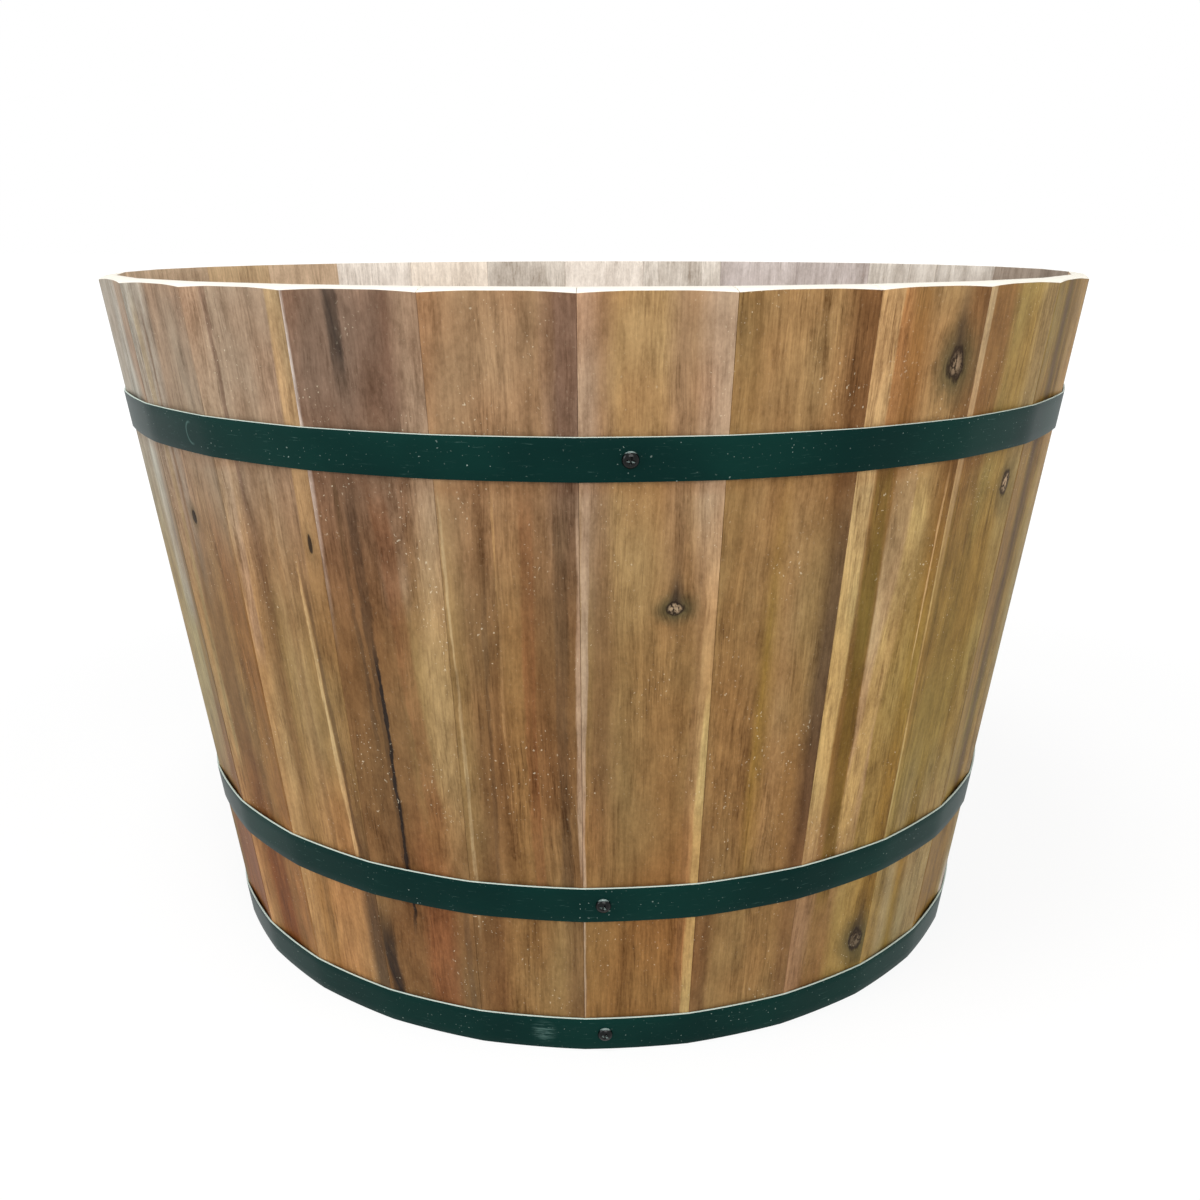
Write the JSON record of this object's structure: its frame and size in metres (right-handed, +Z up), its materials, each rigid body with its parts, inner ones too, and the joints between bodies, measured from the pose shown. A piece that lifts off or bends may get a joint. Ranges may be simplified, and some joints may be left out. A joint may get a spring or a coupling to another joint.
{
  "type": "barrel planter",
  "caption": "Round tapered wooden tub of flat staves bound by flat steel hoops, open at the top, with a slatted base for soil or a plant pot.",
  "frame": {"origin": "centre of the footprint, on the ground under the staves", "axes": "+Z up along the tub's axis, -Y towards the front, where each hoop has its front screw, and +X to the right seen from the front"},
  "size_m": [0.5706, 0.5707, 0.3892],
  "materials": {
    "stave_wood": "warm brown hardwood with pale sapwood streaks and knots, satin varnish",
    "base_wood": "plain sawn hardwood, dull",
    "hoop_paint": "dark green semi-gloss paint on flat steel strip",
    "screw_steel": "black coated steel, glossy"
  },
  "bodies": {
    "root": {"stave_01": "stave_wood", "stave_02": "stave_wood", "stave_03": "stave_wood", "stave_04": "stave_wood", "stave_05": "stave_wood", "stave_06": "stave_wood", "stave_07": "stave_wood", "stave_08": "stave_wood", "stave_09": "stave_wood", "stave_10": "stave_wood", "stave_11": "stave_wood", "stave_12": "stave_wood", "stave_13": "stave_wood", "stave_14": "stave_wood", "stave_15": "stave_wood", "stave_16": "stave_wood", "stave_17": "stave_wood", "stave_18": "stave_wood", "stave_19": "stave_wood", "stave_20": "stave_wood", "stave_21": "stave_wood", "stave_22": "stave_wood", "stave_23": "stave_wood", "stave_24": "stave_wood", "stave_25": "stave_wood", "stave_26": "stave_wood", "stave_27": "stave_wood", "top_hoop": "hoop_paint", "middle_hoop": "hoop_paint", "base_hoop": "hoop_paint", "top_hoop_screw_01": "screw_steel", "top_hoop_screw_02": "screw_steel", "top_hoop_screw_03": "screw_steel", "middle_hoop_screw_01": "screw_steel", "middle_hoop_screw_02": "screw_steel", "middle_hoop_screw_03": "screw_steel", "base_hoop_screw_01": "screw_steel", "base_hoop_screw_02": "screw_steel", "base_hoop_screw_03": "screw_steel", "top_hoop_rivet_01": "hoop_paint", "top_hoop_rivet_02": "hoop_paint", "middle_hoop_rivet_01": "hoop_paint", "middle_hoop_rivet_02": "hoop_paint", "base_hoop_rivet_01": "hoop_paint", "base_hoop_rivet_02": "hoop_paint", "base_board_01": "base_wood", "base_board_02": "base_wood", "base_board_03": "base_wood", "base_board_04": "base_wood", "base_batten_01": "base_wood", "base_batten_02": "base_wood", "batten_screw_01": "screw_steel", "batten_screw_02": "screw_steel", "batten_screw_03": "screw_steel", "batten_screw_04": "screw_steel", "batten_screw_05": "screw_steel", "batten_screw_06": "screw_steel", "batten_screw_07": "screw_steel", "batten_screw_08": "screw_steel"}
  },
  "joints": []
}
